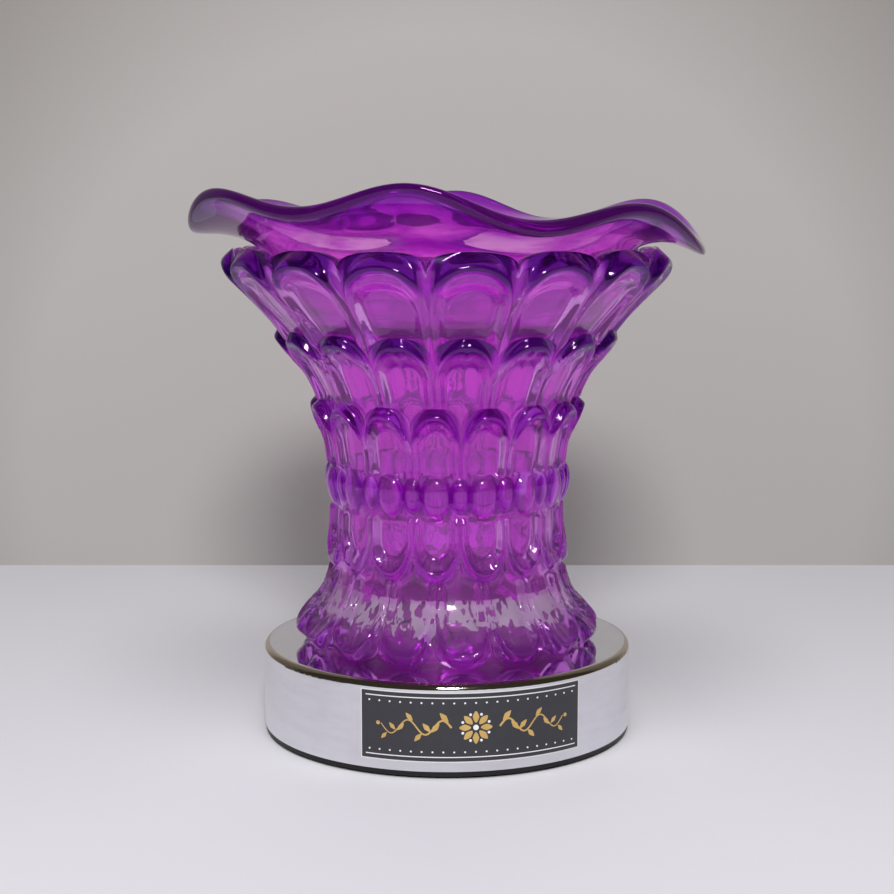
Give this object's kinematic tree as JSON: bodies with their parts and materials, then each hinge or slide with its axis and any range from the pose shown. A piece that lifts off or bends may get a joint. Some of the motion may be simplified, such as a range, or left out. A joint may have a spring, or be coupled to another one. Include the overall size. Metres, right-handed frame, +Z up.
{
  "type": "touch lamp warmer",
  "caption": "Touch-switched electric wax and oil warmer: petal-pressed purple glass shade and wavy glass dish on a round chrome base.",
  "frame": {"origin": "on the table, at the centre of the round base", "axes": "+Z up, -Y to the front as pictured, +X to the right, +Y to the cord inlet at the back"},
  "size_m": [0.1578, 0.1578, 0.1691],
  "materials": {
    "chrome": "polished chrome plate on the housing",
    "black_plastic": "moulded black",
    "rubber": "matt black",
    "steel": "zinc plated",
    "dark_steel": "blackened",
    "ceramic": "unglazed white steatite",
    "brass": "plain",
    "board": "green lacquered laminate",
    "black_part": "moulded black",
    "red_part": "dipped red",
    "blue_part": "printed sleeve",
    "tan_part": "lacquered",
    "orange_glass": "glass bead",
    "green_plastic": "moulded green",
    "orange_wire": "insulated wire",
    "white_wire": "glass-fibre sleeve",
    "white_ceramic": "moulded white lamp base",
    "reflector": "metallised glass",
    "clear_glass": "clear",
    "tungsten": "wound wire",
    "purple_glass": "pressed glass, purple coat inside, clear near the foot",
    "purple_dish": "purple glass, fire polished"
  },
  "bodies": {
    "base": {"base_housing": "chrome", "bottom_cover": "black_plastic", "rubber_feet": "rubber", "cover_posts": "steel", "cover_screws": "dark_steel", "cord_grommet": "rubber", "shade_ring": "steel", "top_screws": "steel", "top_nuts": "steel", "lampholder_body": "ceramic", "lampholder_contacts": "brass", "lampholder_bracket": "steel", "holder_screws": "steel", "holder_nuts": "steel", "touch_board": "board", "board_screws": "steel", "touch_chip": "black_part", "triac": "black_part", "film_capacitor": "red_part", "smoothing_capacitor": "blue_part", "resistors": "tan_part", "zener_diode": "orange_glass", "terminal_block": "green_plastic", "touch_terminal": "brass", "touch_lead": "orange_wire", "lamp_leads": "white_wire"},
    "bulb": {"bulb_base": "white_ceramic", "bulb_pins": "steel", "bulb_reflector": "reflector", "bulb_front_glass": "clear_glass", "bulb_capsule": "clear_glass", "bulb_filament": "tungsten"},
    "shade": {"shade_lower": "purple_glass", "shade_upper": "purple_glass"},
    "dish": {"dish": "purple_dish"}
  },
  "joints": [
    {"name": "shade_lift", "type": "slide", "parent": "base", "child": "shade", "axis": [0, 0, 1], "range_m": [0, 0.06]},
    {"name": "dish_lift", "type": "slide", "parent": "shade", "child": "dish", "axis": [0, 0, 1], "range_m": [0, 0.04]},
    {"name": "bulb_twist", "type": "hinge", "parent": "base", "child": "bulb", "pos_m": [0, 0, 0.027], "axis": [0, 0, 1], "range_deg": [0, 20]}
  ]
}
